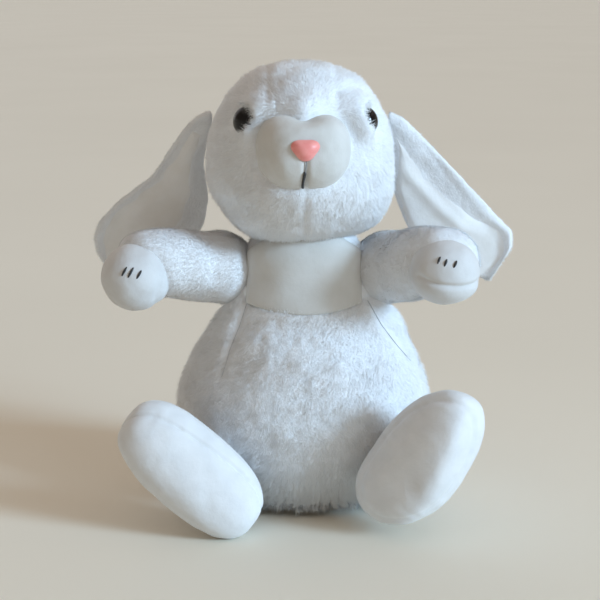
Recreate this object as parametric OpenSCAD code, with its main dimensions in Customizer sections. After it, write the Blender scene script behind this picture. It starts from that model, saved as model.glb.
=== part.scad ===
// Seated plush rabbit: a stuffed torso with a head, two lop ears, two arms and two legs.
// It faces -Y, +X is the rabbit's own left, and the flat of its seat rests on z = 0.
// Each limb flexes at the seam that joins it, which is modelled as a ball in a shallow socket.

/* [Torso] */
// Half the width of the belly, over the pile
belly_r = 81; // [76:1:83]
// Height of the widest part of the belly
belly_z = 56; // [52:1:60]
// Half the width of the flat seat
seat_r = 50; // [44:1:54]
// Half the width of the neck
neck_r = 41; // [39:1:42]
// Height of the middle of the neck
neck_z = 150; // [148:1:152]
// Depth of the torso over its width
torso_depth_ratio = 0.72; // [0.7:0.01:0.74]
// Height of the pellet pouch in the seat
pouch_h = 30; // [20:2:40]
// Radius of the pom-pom tail
tail_r = 15; // [12:1:18]

/* [Fabric] */
// Thickness of the long plush, backing and pile
plush_t = 5; // [4:0.5:6]
// Thickness of the short velour
velour_t = 2; // [1.5:0.5:2.5]
// Clearance between the stuffing and the fabric
fill_gap = 0.15; // [0.1:0.05:0.3]
// Clearance round each flexing seam
seam_gap = 0.5; // [0.4:0.1:0.8]

/* [Head] */
// Half the width of the head
head_r = 59; // [57:1:60]
// Half the height of the head
head_half_h = 54.5; // [53:0.5:55.5]
// Depth of the head over its width
head_depth_ratio = 0.92; // [0.88:0.01:0.95]
// Height of the middle of the head
head_z = 218; // [217:1:220]
// How far the face tips up, in degrees
head_pitch = 6; // [3:1:8]
// How far the face turns to the rabbit's left, in degrees
head_yaw = 3.5; // [0:0.5:5]
// Half the width of the muzzle
muzzle_r = 31; // [29:1:33]
// Width of the nose
nose_w = 16.5; // [14:0.5:18]
// Diameter of each eye
eye_d = 17; // [15:0.5:18]
// How far round the head each eye sits, in degrees from the nose
eye_angle = 45; // [43:1:48]
// How far round each eye looks, in degrees from the nose
eye_turn = 58; // [54:1:60]

/* [Ears] */
// Length of an ear from its root
ear_l = 118; // [108:2:122]
// Half the greatest width of an ear
ear_half_w = 22.5; // [20:0.5:24]
// Angle of a hanging ear below the horizontal
ear_drop = 58; // [56:1:62]
// How far a hanging ear leans back behind the arms, in degrees
ear_lean = 8; // [7:1:10]

/* [Arms] */
// Length of an arm from the shoulder
arm_l = 77; // [72:1:80]
// Radius of a sleeve, over the pile
arm_r = 24.5; // [22:0.5:25]
// Radius of a paw
paw_r = 20.5; // [18:0.5:21.5]

/* [Legs] */
// Length of a foot
foot_l = 96; // [90:1:97]
// Radius of a foot at its widest
foot_r = 25; // [23:0.5:25.5]
// Radius of a leg where it meets the foot
leg_r = 16.5; // [15.5:0.5:17]

/* [Hidden] */
$fn = 64;

// The rabbit's own left is +X
LEFT = 1;
RIGHT = -1;
far = 200;

// Torso seams and joints
side_seam_y = 8;
bib_half_w = 37;
bib_z = 128;
tail_z = 27;
neck_half_h = neck_r * torso_depth_ratio;
function shoulder(side) = [side * 52, 0, 145];
function hip(side) = [side * 54, -41, 34];
arm_ball_r = 25;
hip_ball_r = 23.5;

// Head seams, in the head's own frame
head_middle = [-2.5, 4, head_z];
gusset_half_w = 21;
head_seam_y = 12;
cheek_level = -0.3;
muzzle_middle = [0, -37, 0];
muzzle_height_ratio = 0.8;
nose_z = 1;
nose_h = 3.2;
nose_corner_r = 4;
mouth_top = 15;
mouth_foot = 54;
thread_r = 0.6;
eye_z = 19;
eye_seat = 3.5;
eye_dome_h = 7;
shank_r = 2;
shank_l = 12;
washer_r = 7;
washer_t = 1.6;
washer_depth = 8;
ear_root_r = 9.5;
ear_waist_r = 7;
function ear_root(side) = head_middle + [side * 61, 14, 14];

// Limb directions: heading is measured from +X, and lift is above the horizontal
function arm_heading(side) = side == LEFT ? -53 : 208;
function arm_lift(side) = side == LEFT ? 6 : -1;
paw_seam = 46;
claw_r = 0.7;
claw_arc = 20;
function claw_rise(side) = side == LEFT ? 16 : 8;
function foot_middle(side) = side == LEFT ? [65, -74, 44.5] : [-63.5, -70, 39];
function foot_rise(side) = side == LEFT ? 55 : 40.6;
sole_seam_y = -9;

// --- Torso ---

function torso_radius(z) = z < belly_z
    ? seat_r + (belly_r - seat_r) * pow(1 - pow(1 - z / belly_z, 2.2), 1 / 2.2)
    : neck_r + (belly_r - neck_r) * (1 + cos(180 * pow((z - belly_z) / (neck_z - belly_z), 1.1))) / 2;

function torso_outline(inset) = concat(
    [[0, inset]],
    [for (i = [0:16]) let (z = inset + (neck_z - inset) * i / 17) [torso_radius(z) - inset, z]],
    [for (a = [0:10:90]) [(neck_r - inset) * cos(a), neck_z + (neck_half_h - inset) * sin(a)]]
);

module torso_form(inset) {
    scale([1, torso_depth_ratio, 1])
        rotate_extrude()
            polygon(torso_outline(inset));
}

module limb_sockets() {
    for (side = [LEFT, RIGHT]) {
        translate(shoulder(side))
            sphere(arm_ball_r + seam_gap);
        translate(hip(side))
            sphere(hip_ball_r + seam_gap);
    }
}

// What the seat takes out of the belly and the back
module seat_disc() {
    scale([1, torso_depth_ratio, 1])
        cylinder(r = seat_r, h = plush_t);
}

module bib_zone() {
    translate([-bib_half_w, side_seam_y - far, bib_z])
        cube([2 * bib_half_w, far, far]);
}

// The left half of the torso, in front of the side seam (front = true) or behind it
module torso_zone(front) {
    translate([0, side_seam_y - (front ? far : 0), 0])
        cube(far);
}

// Draws what is on the rabbit's left, or its mirror image on the right
module on_side(side) {
    if (side == LEFT)
        children();
    else
        mirror([1, 0, 0])
            children();
}

// Drawn by its points, because a scaled cylinder's flat ends are not exact planes
module seat_base() {
    color("whitesmoke")
        linear_extrude(height = plush_t)
            polygon([for (a = [0:5:355]) seat_r * [cos(a), torso_depth_ratio * sin(a)]]);
}

module belly(side) {
    color("white")
        on_side(side)
            difference() {
                intersection() {
                    torso_form(0);
                    torso_zone(true);
                }
                torso_form(plush_t);
                seat_disc();
                bib_zone();
                limb_sockets();
            }
}

module back(side) {
    color("white")
        on_side(side)
            difference() {
                intersection() {
                    torso_form(0);
                    torso_zone(false);
                }
                torso_form(plush_t);
                seat_disc();
                limb_sockets();
            }
}

module chest_bib() {
    color("snow")
        difference() {
            intersection() {
                torso_form(0);
                bib_zone();
            }
            torso_form(plush_t);
            limb_sockets();
        }
}

module torso_stuffing() {
    color("ivory")
        difference() {
            torso_form(plush_t + fill_gap);
            translate([-far / 2, -far / 2, 0])
                cube([far, far, pouch_h + fill_gap]);
            limb_sockets();
        }
}

module pellet_pouch() {
    color("lightgray")
        difference() {
            intersection() {
                torso_form(plush_t + fill_gap);
                translate([-far / 2, -far / 2, 0])
                    cube([far, far, pouch_h]);
            }
            limb_sockets();
        }
}

module tail() {
    color("white")
        difference() {
            translate([0, torso_depth_ratio * torso_radius(tail_z) + tail_r / 3, tail_z])
                rotate([-90, 0, 0])
                    rotate_extrude()
                        polygon([for (a = [-90:10:90]) tail_r * [cos(a), sin(a)]]);
            torso_form(0);
        }
}

// --- Head ---

module head_frame() {
    translate(head_middle)
        rotate([-head_pitch, 0, head_yaw])
            children();
}

// Half the head's width at a height of s half heights: widest and fullest at the cheeks
function head_width(s) =
    let (upper = s > cheek_level)
    let (rise = upper ? (s - cheek_level) / (1 - cheek_level) : (cheek_level - s) / (1 + cheek_level))
    let (fullness = upper ? 2.35 : 2.6)
    head_r * pow(max(1 - pow(rise, fullness), 0), 1 / fullness);

function head_outline(inset) = [
    for (a = [-90:10:90])
        [head_width(sin(a)) * (1 - inset / head_r), (head_half_h - inset) * sin(a)]
];

module head_form(inset) {
    scale([1, head_depth_ratio, 1])
        rotate_extrude()
            polygon(head_outline(inset));
}

module muzzle_form(inset) {
    translate(muzzle_middle)
        scale([1, 1, (muzzle_r * muzzle_height_ratio - inset) / (muzzle_r - inset)])
            sphere(muzzle_r - inset);
}

// The neck's dome, which the head rocks over
module neck_socket() {
    translate([0, 0, neck_z])
        scale([1, (neck_half_h + seam_gap) / (neck_r + seam_gap), (neck_half_h + seam_gap) / (neck_r + seam_gap)])
            sphere(neck_r + seam_gap);
}

// An ear's own frame: it hangs along -Z from its root, with its lining towards -Y
module ear_frame(side) {
    translate(ear_root(side))
        rotate([ear_lean, 0, 0])
            rotate([0, -side * (90 - ear_drop), 0])
                children();
}

module ear_slots() {
    for (side = [LEFT, RIGHT])
        ear_frame(side)
            translate([0, plush_t + seam_gap, 0])
                rotate([90, 0, 0])
                    cylinder(r = ear_root_r + seam_gap, h = plush_t + velour_t + 2 * seam_gap);
}

// An eye's own frame: +Z looks out of the head, and z = 0 is the tip of the pile
module eye_frame(side) {
    reach = head_width(eye_z / head_half_h);
    look_up = 16;
    head_frame()
        translate([side * reach * sin(eye_angle), -reach * head_depth_ratio * cos(eye_angle), eye_z])
            rotate([90 - look_up, 0, side * eye_turn])
                children();
}

// What each eye takes out of the skin: a seat for the dome, and a hole for the shank
module eye_seats() {
    for (side = [LEFT, RIGHT])
        eye_frame(side) {
            translate([0, 0, -eye_seat])
                cylinder(d = eye_d + 0.3, h = 20);
            translate([0, 0, -20])
                cylinder(r = shank_r + 0.1, h = 20);
        }
}

// What each eye takes out of the stuffing: room for the washer and the shank
module washer_pockets() {
    for (side = [LEFT, RIGHT])
        eye_frame(side)
            translate([0, 0, -eye_seat - shank_l - 1])
                cylinder(r = washer_r + 0.5, h = shank_l);
}

module head_skin_cuts() {
    head_frame() {
        head_form(plush_t);
        muzzle_form(0);
    }
    neck_socket();
    ear_slots();
    eye_seats();
}

module gusset_zone() {
    translate([-gusset_half_w, head_seam_y - far, 0])
        cube([2 * gusset_half_w, far, far]);
}

module head_gusset() {
    color("white")
        difference() {
            head_frame()
                intersection() {
                    head_form(0);
                    gusset_zone();
                }
            head_skin_cuts();
        }
}

module cheek(side) {
    color("white")
        difference() {
            head_frame()
                difference() {
                    intersection() {
                        head_form(0);
                        translate([side == LEFT ? 0 : -far, head_seam_y - far, -far / 2])
                            cube(far);
                    }
                    gusset_zone();
                }
            head_skin_cuts();
        }
}

module head_back() {
    color("white")
        difference() {
            head_frame()
                intersection() {
                    head_form(0);
                    translate([-far / 2, head_seam_y, -far / 2])
                        cube(far);
                }
            head_skin_cuts();
        }
}

module muzzle() {
    color("snow")
        head_frame()
            difference() {
                muzzle_form(0);
                muzzle_form(velour_t);
                head_form(plush_t);
            }
}

module head_stuffing() {
    color("ivory")
        difference() {
            head_frame()
                union() {
                    head_form(plush_t + fill_gap);
                    muzzle_form(velour_t + fill_gap);
                }
            neck_socket();
            ear_slots();
            eye_seats();
            washer_pockets();
        }
}

// A triangle with round corners, point down: each corner's middle is c, and its arc starts at angle a
function nose_outline() =
    let (reach = nose_w / 2 - nose_corner_r)
    [for (corner = [[[reach, 2.5], -30], [[-reach, 2.5], 90], [[0, -2.6], 210]])
        for (turn = [0:20:120])
            corner[0] + nose_corner_r * [cos(corner[1] + turn), sin(corner[1] + turn)]];

// A satin nose, domed to the front and hollowed at the back to lie on the muzzle
module nose() {
    dome_r = 12;
    color("lightsalmon")
        head_frame()
            translate([0, muzzle_middle.y - muzzle_r, nose_z])
                difference() {
                    intersection() {
                        translate([0, 3, 0])
                            rotate([90, 0, 0])
                                linear_extrude(10)
                                    polygon(nose_outline());
                        translate([0, dome_r - nose_h, 0])
                            sphere(dome_r);
                    }
                    translate([0, muzzle_r, -nose_z])
                        translate(-muzzle_middle)
                            muzzle_form(0, $fn = 160);
                }
}

// The thread of the mouth, from under the nose to the foot of the muzzle
module mouth_stitch() {
    color("black")
        head_frame()
            translate(muzzle_middle)
                scale([1, 1, muzzle_height_ratio])
                    rotate([0, 0, 270])
                        rotate([0, mouth_foot, 0])
                            rotate([90, 0, 0])
                                rotate_extrude(angle = mouth_foot - mouth_top)
                                    translate([muzzle_r + thread_r + 0.1, 0])
                                        circle(r = thread_r);
}

module eye(side) {
    color("black")
        eye_frame(side)
            translate([0, 0, -eye_seat])
                rotate_extrude()
                    polygon(concat(
                        [[0, -shank_l], [shank_r, -shank_l], [shank_r, 0]],
                        [for (a = [0:10:90]) [eye_d / 2 * cos(a), eye_dome_h * sin(a)]]
                    ));
}

module eye_washer(side) {
    color("gainsboro")
        eye_frame(side)
            translate([0, 0, -washer_depth - washer_t])
                difference() {
                    cylinder(r = washer_r, h = washer_t);
                    translate([0, 0, -1])
                        cylinder(r = shank_r + 0.05, h = washer_t + 2);
                }
}

// --- Ears ---

// Half the ear's width at a share t of its length: a narrow root, then a broad leaf with a round end
function ear_width(t) =
    let (broadest = 0.72)
    let (swell = min(t / broadest, 1))
    let (grown = ear_waist_r + (ear_half_w - ear_waist_r) * (1 - cos(180 * swell)) / 2)
    t < broadest ? grown : grown * sqrt(max(1 - pow((t - broadest) / (1 - broadest), 2.4), 0));

function ear_outline(inset) =
    let (side = [for (i = [2:24]) let (t = i / 24) [ear_width(t) - inset, -t * (ear_l - inset)]])
    let (leaf = [for (p = side) if (p.x > 0) p])
    concat(
        [for (a = [80:-20:-20]) (ear_root_r - inset) * [cos(a), sin(a)]],
        leaf,
        [[0, inset - ear_l]],
        [for (i = [len(leaf) - 1:-1:0]) [-leaf[i].x, leaf[i].y]],
        [for (a = [200:-20:100]) (ear_root_r - inset) * [cos(a), sin(a)]]
    );

module ear_back(side) {
    color("white")
        ear_frame(side)
            translate([0, plush_t, 0])
                rotate([90, 0, 0])
                    linear_extrude(plush_t)
                        polygon(ear_outline(0));
}

module ear_lining(side) {
    rolled_edge = 3;
    color("snow")
        ear_frame(side)
            rotate([90, 0, 0])
                linear_extrude(velour_t)
                    polygon(ear_outline(rolled_edge));
}

// --- Arms ---

module arm_frame(side) {
    translate(shoulder(side))
        rotate([0, 90 - arm_lift(side), arm_heading(side)])
            children();
}

function arm_outline(inset) = concat(
    [for (a = [-90:10:10]) (arm_ball_r - inset) * [cos(a), sin(a)]],
    [[arm_r - 2.2 - inset, 14], [arm_r - 0.8 - inset, 28], [paw_r + 1.5 - inset, paw_seam]],
    [for (a = [10:10:90]) [(paw_r - inset) * cos(a), arm_l - paw_r + (paw_r - inset) * sin(a)]]
);

// The arm's profile between two distances from the shoulder
module arm_slice(inset, from, to) {
    intersection() {
        polygon(arm_outline(inset));
        translate([0, from])
            square([far, to - from]);
    }
}

module arm_sleeve(side) {
    color("white")
        arm_frame(side)
            rotate_extrude()
                difference() {
                    arm_slice(0, -far, paw_seam);
                    polygon(arm_outline(plush_t));
                }
}

module arm_paw(side) {
    color("snow")
        arm_frame(side)
            rotate_extrude()
                difference() {
                    arm_slice(0, paw_seam, far);
                    polygon(arm_outline(velour_t));
                }
}

module arm_stuffing(side) {
    color("ivory")
        arm_frame(side)
            rotate_extrude()
                union() {
                    arm_slice(plush_t + fill_gap, -far, paw_seam);
                    arm_slice(velour_t + fill_gap, paw_seam, far);
                }
}

// Three short arcs of thread over the front of the paw
module arm_claws(side) {
    paw_middle = [0, 0, arm_l - paw_r];
    color("black")
        for (k = [-1:1])
            arm_frame(side)
                translate(paw_middle)
                    rotate([0, arm_lift(side) - 90, 0])
                        rotate([0, 0, 270 - side * 4 + 15 * k - arm_heading(side)])
                            rotate([0, -claw_rise(side), 0])
                                rotate([90, 0, 0])
                                    rotate_extrude(angle = claw_arc)
                                        translate([paw_r + claw_r + 0.1, 0])
                                            circle(r = claw_r);
}

// --- Legs ---

module foot_frame(side) {
    translate(foot_middle(side))
        rotate([0, side * (90 - foot_rise(side)), 0])
            children();
}

function foot_outline(inset) = [
    for (a = [-90:10:90])
        [(foot_r - inset) * pow(cos(a), 0.8) * (1 + 0.04 * sin(a)), (foot_l / 2 - inset) * sin(a)]
];

module foot_form(side, inset) {
    foot_frame(side)
        rotate_extrude()
            polygon(foot_outline(inset));
}

// A leg runs from its hip to the middle of its foot
function leg_run(side) = foot_middle(side) - hip(side);

function leg_outline(side, inset) = concat(
    [for (a = [-90:10:20]) (hip_ball_r - inset) * [cos(a), sin(a)]],
    [[leg_r - inset, 17], [leg_r - inset, norm(leg_run(side))], [0, norm(leg_run(side))]]
);

module leg_form(side, inset) {
    run = leg_run(side);
    translate(hip(side))
        rotate([0, acos(run.z / norm(run)), atan2(run.y, run.x)])
            rotate_extrude()
                polygon(leg_outline(side, inset));
}

module sole_zone(side) {
    foot_frame(side)
        translate([-far / 2, sole_seam_y - far, -far / 2])
            cube(far);
}

module leg_sleeve(side) {
    color("white")
        difference() {
            leg_form(side, 0);
            leg_form(side, plush_t);
            foot_form(side, 0);
        }
}

module foot_upper(side) {
    color("snow")
        difference() {
            foot_form(side, 0);
            foot_form(side, velour_t);
            sole_zone(side);
            leg_form(side, plush_t);
        }
}

module foot_sole(side) {
    color("snow")
        difference() {
            intersection() {
                foot_form(side, 0);
                sole_zone(side);
            }
            foot_form(side, velour_t);
        }
}

module leg_stuffing(side) {
    color("ivory")
        union() {
            leg_form(side, plush_t + fill_gap);
            foot_form(side, velour_t + fill_gap);
        }
}

// --- Assembly ---

seat_base();
belly(LEFT);  // belly_left
belly(RIGHT);  // belly_right
back(LEFT);  // back_left
back(RIGHT);  // back_right
chest_bib();
torso_stuffing();
pellet_pouch();
tail();
head_gusset();
cheek(LEFT);  // cheek_left
cheek(RIGHT);  // cheek_right
head_back();
muzzle();
head_stuffing();
nose();
mouth_stitch();
eye(LEFT);  // eye_left
eye(RIGHT);  // eye_right
eye_washer(LEFT);  // eye_washer_left
eye_washer(RIGHT);  // eye_washer_right
ear_back(LEFT);  // ear_left_back
ear_lining(LEFT);  // ear_left_lining
ear_back(RIGHT);  // ear_right_back
ear_lining(RIGHT);  // ear_right_lining
arm_sleeve(LEFT);  // arm_left_sleeve
arm_paw(LEFT);  // arm_left_paw
arm_claws(LEFT);  // arm_left_claws
arm_stuffing(LEFT);  // arm_left_stuffing
arm_sleeve(RIGHT);  // arm_right_sleeve
arm_paw(RIGHT);  // arm_right_paw
arm_claws(RIGHT);  // arm_right_claws
arm_stuffing(RIGHT);  // arm_right_stuffing
leg_sleeve(LEFT);  // leg_left_sleeve
foot_upper(LEFT);  // foot_left_upper
foot_sole(LEFT);  // foot_left_sole
leg_stuffing(LEFT);  // leg_left_stuffing
leg_sleeve(RIGHT);  // leg_right_sleeve
foot_upper(RIGHT);  // foot_right_upper
foot_sole(RIGHT);  // foot_right_sole
leg_stuffing(RIGHT);  // leg_right_stuffing
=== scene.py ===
"""Seated plush rabbit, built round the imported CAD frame. Lengths are in millimetres until a mesh is made."""
import math

import bpy
import numpy as np
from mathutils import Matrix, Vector


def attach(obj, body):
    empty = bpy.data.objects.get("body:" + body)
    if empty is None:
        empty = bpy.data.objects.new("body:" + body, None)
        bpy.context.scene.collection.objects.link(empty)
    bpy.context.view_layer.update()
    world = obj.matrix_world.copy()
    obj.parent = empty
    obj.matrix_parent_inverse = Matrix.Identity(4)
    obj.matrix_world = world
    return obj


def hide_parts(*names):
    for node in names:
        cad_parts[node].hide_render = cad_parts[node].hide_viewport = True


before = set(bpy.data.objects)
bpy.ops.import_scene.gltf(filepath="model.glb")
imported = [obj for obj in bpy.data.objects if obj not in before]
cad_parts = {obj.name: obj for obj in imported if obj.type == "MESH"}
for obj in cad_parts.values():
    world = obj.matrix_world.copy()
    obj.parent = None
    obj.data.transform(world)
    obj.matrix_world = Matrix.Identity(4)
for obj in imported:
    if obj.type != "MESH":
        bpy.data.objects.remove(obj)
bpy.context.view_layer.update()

MM = 0.001
LEFT, RIGHT = 1, -1
SIDES = ((LEFT, "left"), (RIGHT, "right"))
PILE = 2.6  # from the plush's backing to the tips of its pile


# --- Small vector tools


def unit(v):
    """Each row of v at length one."""
    return v / np.maximum(np.linalg.norm(v, axis=-1, keepdims=True), 1e-9)


def turn(axis, degrees):
    """The 3x3 matrix of a turn about x, y or z."""
    c, s = math.cos(math.radians(degrees)), math.sin(math.radians(degrees))
    i = "xyz".index(axis)
    m = np.eye(3)
    m[i - 2, i - 2] = m[i - 1, i - 1] = c
    m[i - 1, i - 2], m[i - 2, i - 1] = s, -s
    return m


class Place:
    """A local frame: a turn, then a move."""

    def __init__(self, origin, *turns):
        self.m = np.eye(3)
        for axis, degrees in turns:
            self.m = self.m @ turn(axis, degrees)
        self.o = np.array(origin, float)

    def out(self, p):
        return np.asarray(p, float) @ self.m.T + self.o

    def into(self, p):
        return (np.asarray(p, float) - self.o) @ self.m

    def way(self, d):
        return np.asarray(d, float) @ self.m.T


def heading(across, up):
    """The direction so many degrees across from straight ahead, -y, and up."""
    a, e = np.radians(across), np.radians(up)
    return np.stack([np.sin(a) * np.cos(e), -np.cos(a) * np.cos(e), np.sin(e)], -1)


def smooth(low, high, x):
    """0 below low, 1 above high, and a soft step between."""
    t = np.clip((x - low) / (high - low), 0, 1)
    return t * t * (3 - 2 * t)


def bump(x, width):
    """1 at zero, and a soft fall to nothing on both sides."""
    return np.exp(-((x / width) ** 2))


def noise(p, size, seed):
    """Value noise from -1 to 1 at the points p, with features of about this size."""
    q = np.asarray(p, float) / size + 13.7 * seed
    cell = np.floor(q).astype(np.int64)
    f = q - cell
    f = f * f * (3 - 2 * f)
    total = np.zeros(len(q))
    for corner in range(8):
        offset = np.array([corner & 1, corner >> 1 & 1, corner >> 2 & 1])
        c = cell + offset
        x = (c[:, 0] * 73856093) ^ (c[:, 1] * 19349663) ^ (c[:, 2] * 83492791) ^ (seed * 7919)
        for _ in range(2):
            x &= 0xFFFFFFFF
            x = (x ^ (x >> 16)) * 0x45D9F3B
        x = (x ^ (x >> 16)) & 0xFFFF
        w = np.prod(np.where(offset, f, 1 - f), axis=1)
        total += w * (x / 0x7FFF - 1)
    return total


def path_distance(p, points):
    """Distance of the points p from a path of straight pieces, and the share of the path at the nearest point."""
    best, share = np.full(len(p), 1e9), np.zeros(len(p))
    for k, (a, b) in enumerate(zip(points, points[1:])):
        way = np.array(b, float) - a
        t = np.clip((p - a) @ way / (way @ way), 0, 1)
        d = np.linalg.norm(p - a - t[:, None] * way, axis=1)
        share = np.where(d < best, (k + t) / (len(points) - 1), share)
        best = np.minimum(best, d)
    return best, share


# --- Meshes


def grid(n, m):
    """Point numbers and quads of a grid of n by m quads."""
    index = np.arange((n + 1) * (m + 1)).reshape(n + 1, m + 1)
    return index, np.stack([index[:-1, :-1], index[1:, :-1], index[1:, 1:], index[:-1, 1:]], -1).reshape(-1, 4)


def cube_sphere(n):
    """Unit directions and outward quads of a cube blown up to a sphere, n quads along each edge."""
    a = np.tan(np.linspace(-1, 1, n + 1) * math.pi / 4)
    u, v = np.meshgrid(a, a, indexing="ij")
    _, quads = grid(n, n)
    points, faces = [], []
    for k in range(3):
        for sign in (-1, 1):
            p = np.zeros(u.shape + (3,))
            p[..., k], p[..., (k + 1) % 3], p[..., (k + 2) % 3] = sign, u * sign, v
            faces.append(quads + len(points) * (n + 1) ** 2)
            points.append(p.reshape(-1, 3))
    points = np.concatenate(points)
    _, first, same = np.unique(np.round(points, 6), axis=0, return_index=True, return_inverse=True)
    return unit(points[first]), same.reshape(-1)[np.concatenate(faces)]


def corner_normals(v, f):
    """Vertex normals of a quad or triangle mesh."""
    n = np.cross(v[f[:, 2]] - v[f[:, 0]], v[f[:, -1]] - v[f[:, 1]])
    out = np.zeros_like(v)
    for k in range(f.shape[1]):
        for axis in range(3):
            out[:, axis] += np.bincount(f[:, k], n[:, axis], len(v))
    return unit(out)


def put(target, **values):
    """Sets several attributes at once."""
    for k, value in values.items():
        setattr(target, k, value)


def puffed(v, f, by):
    """The points moved outwards, by one number of millimetres or by one for each."""
    return v + corner_normals(v, f) * np.reshape(by, (-1, 1))


def in_scene(name, data):
    ob = bpy.data.objects.new(name, data)
    bpy.context.scene.collection.objects.link(ob)
    return ob


def new_mesh(name, v, f, materials, normals=None, tint=None):
    """A mesh object from arrays; v is in millimetres."""
    me = bpy.data.meshes.new(name)
    me.vertices.add(len(v))
    me.vertices.foreach_set("co", (np.asarray(v) * MM).astype(np.float32).ravel())
    me.loops.add(f.size)
    me.loops.foreach_set("vertex_index", f.astype(np.int32).ravel())
    me.polygons.add(len(f))
    me.polygons.foreach_set("loop_start", np.arange(0, f.size, f.shape[1], dtype=np.int32))
    if tint is not None:
        me.polygons.foreach_set("material_index", tint.astype(np.int32))
    me.update(calc_edges=True)
    me.shade_smooth()
    if normals is not None:
        me.normals_split_custom_set_from_vertices(normals)
    for m in materials if isinstance(materials, (list, tuple)) else [materials]:
        me.materials.append(m)
    return in_scene(name, me)


def piece(name, v, f, material, slot, body, nodes=(), fill=None, **extra):
    """A piece of the rabbit that rides on a body and stands for CAD nodes. Its fill, how full a padded piece is, is
    not used.
    """
    ob = new_mesh(name, v, f, material, **extra)
    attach(ob, body)
    if nodes:
        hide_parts(*nodes)
    return ob


def lathe(dirs, outline, depth_ratio=1.0):
    """Wraps a sphere's directions on to a turned form. outline runs from its foot to its top as (radius, height)."""
    outline = np.array(outline, float)
    run = np.concatenate([[0], np.cumsum(np.linalg.norm(np.diff(outline, axis=0), axis=1))])
    s = (1 - np.arccos(np.clip(dirs[:, 2], -1, 1)) / math.pi) * run[-1]
    r, z = np.interp(s, run, outline[:, 0]), np.interp(s, run, outline[:, 1])
    flat = unit(dirs[:, :2] + 1e-12)
    return np.stack([r * flat[:, 0], r * flat[:, 1] * depth_ratio, z], 1)


def arc(start, end, n, radius, height, at=0.0):
    """Part of an ellipse as n points (radius, height), from start to end in degrees above its widest level."""
    a = np.radians(np.linspace(start, end, n))
    return np.stack([radius * np.cos(a), at + height * np.sin(a)], 1)


def tube(points, radius, sides=8):
    """A round thread along points, with rounded ends; radius may vary from point to point."""
    p = np.asarray(points, float)
    r = np.broadcast_to(radius, len(p)).astype(float)
    along = unit(np.gradient(p, axis=0))
    side = unit(np.cross(along, [0.31, 0.2, 0.93]))
    up = np.cross(along, side)
    a = np.linspace(0, 2 * math.pi, sides, endpoint=False)
    rings, cap = [], [(0.35, -0.8), (0.8, -0.45)]
    for k, d in cap:
        rings.append((p[0] + along[0] * r[0] * d, side[0], up[0], r[0] * k))
    rings += [(p[i], side[i], up[i], r[i]) for i in range(len(p))]
    for k, d in reversed(cap):
        rings.append((p[-1] - along[-1] * r[-1] * d, side[-1], up[-1], r[-1] * k))
    v = np.concatenate([c + rr * (np.cos(a)[:, None] * s + np.sin(a)[:, None] * u) for c, s, u, rr in rings])
    j = np.arange(sides)
    k = (j + 1) % sides
    f = [np.stack([j, k, k + sides, j + sides], 1) + i * sides for i in range(len(rings) - 1)]
    v = np.concatenate([v, [p[0] - along[0] * r[0], p[-1] + along[-1] * r[-1]]])
    last = (len(rings) - 1) * sides
    for j in range(0, sides, 2):
        f.append([[len(v) - 2, (j + 2) % sides, j + 1, j],
                  [len(v) - 1, last + j, last + j + 1, last + (j + 2) % sides]])
    return v, np.concatenate(f)


def join(parts):
    """Several (vertices, faces) as one."""
    start = np.cumsum([0] + [len(v) for v, _ in parts])
    return np.concatenate([v for v, _ in parts]), np.concatenate([f + n for (_, f), n in zip(parts, start)])


def leaf(front, back):
    """A closed leaf from two grids of points with one outline: quads wound outwards for a front towards -y."""
    n, m = front.shape[0] - 1, front.shape[1] - 1
    index, quads = grid(n, m)
    rim = np.concatenate([index[:-1, 0], index[-1, :-1], index[:0:-1, -1], index[0, :0:-1]])
    k = index.size
    edge = np.stack([rim, np.roll(rim, -1), np.roll(rim, -1) + k, rim + k], 1)
    f = np.concatenate([quads[:, ::-1], quads + k, edge])
    v = np.concatenate([front.reshape(-1, 3), back.reshape(-1, 3)])
    if corner_normals(v, f)[index[n // 2, m // 2], 1] > 0:
        f = f[:, ::-1]
    return v, f


def evaluated(ob):
    """An object's mesh after its modifiers, and the positions of its points in millimetres."""
    got = ob.evaluated_get(bpy.context.evaluated_depsgraph_get()).to_mesh()
    co = np.zeros(len(got.vertices) * 3, np.float32)
    got.vertices.foreach_get("co", co)
    return got, co.reshape(-1, 3).astype(float) / MM


def stuffed(name, v, f, held, cap, pressure=4.0, frames=20):
    """Fills a closed cloth form by simulation: it swells between the points that its seams hold, by cap at most."""
    ob = new_mesh(name, v, f, [])
    group = ob.vertex_groups.new(name="seams")
    for i in np.flatnonzero(held):
        group.add([int(i)], 1.0, "REPLACE")
    cloth = ob.modifiers.new("cloth", "CLOTH")
    put(cloth.settings, quality=5, mass=0.3, tension_stiffness=12, compression_stiffness=12, bending_stiffness=0.4,
        use_pressure=True, uniform_pressure_force=pressure, vertex_group_mass="seams")
    cloth.settings.effector_weights.gravity = 0
    put(cloth.collision_settings, use_collision=False, use_self_collision=False)
    put(cloth.point_cache, frame_start=1, frame_end=frames)
    scene = bpy.context.scene
    for k in range(1, frames + 1):
        scene.frame_set(k)
    moved = evaluated(ob)[1] - v
    bpy.data.objects.remove(ob)
    scene.frame_set(1)
    length = np.linalg.norm(moved, axis=1, keepdims=True)
    return v + moved * np.minimum(1, cap / np.maximum(length, 1e-6))


def finer(v, f, times):
    """The same mesh after Catmull-Clark subdivision."""
    ob = new_mesh("finer", v, f, [])
    ob.modifiers.new("finer", "SUBSURF").levels = times
    got, co = evaluated(ob)
    index = np.zeros(len(got.loops), np.int32)
    got.loops.foreach_get("vertex_index", index)
    bpy.data.objects.remove(ob)
    return co, index.reshape(-1, 4)


# --- Materials


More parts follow.
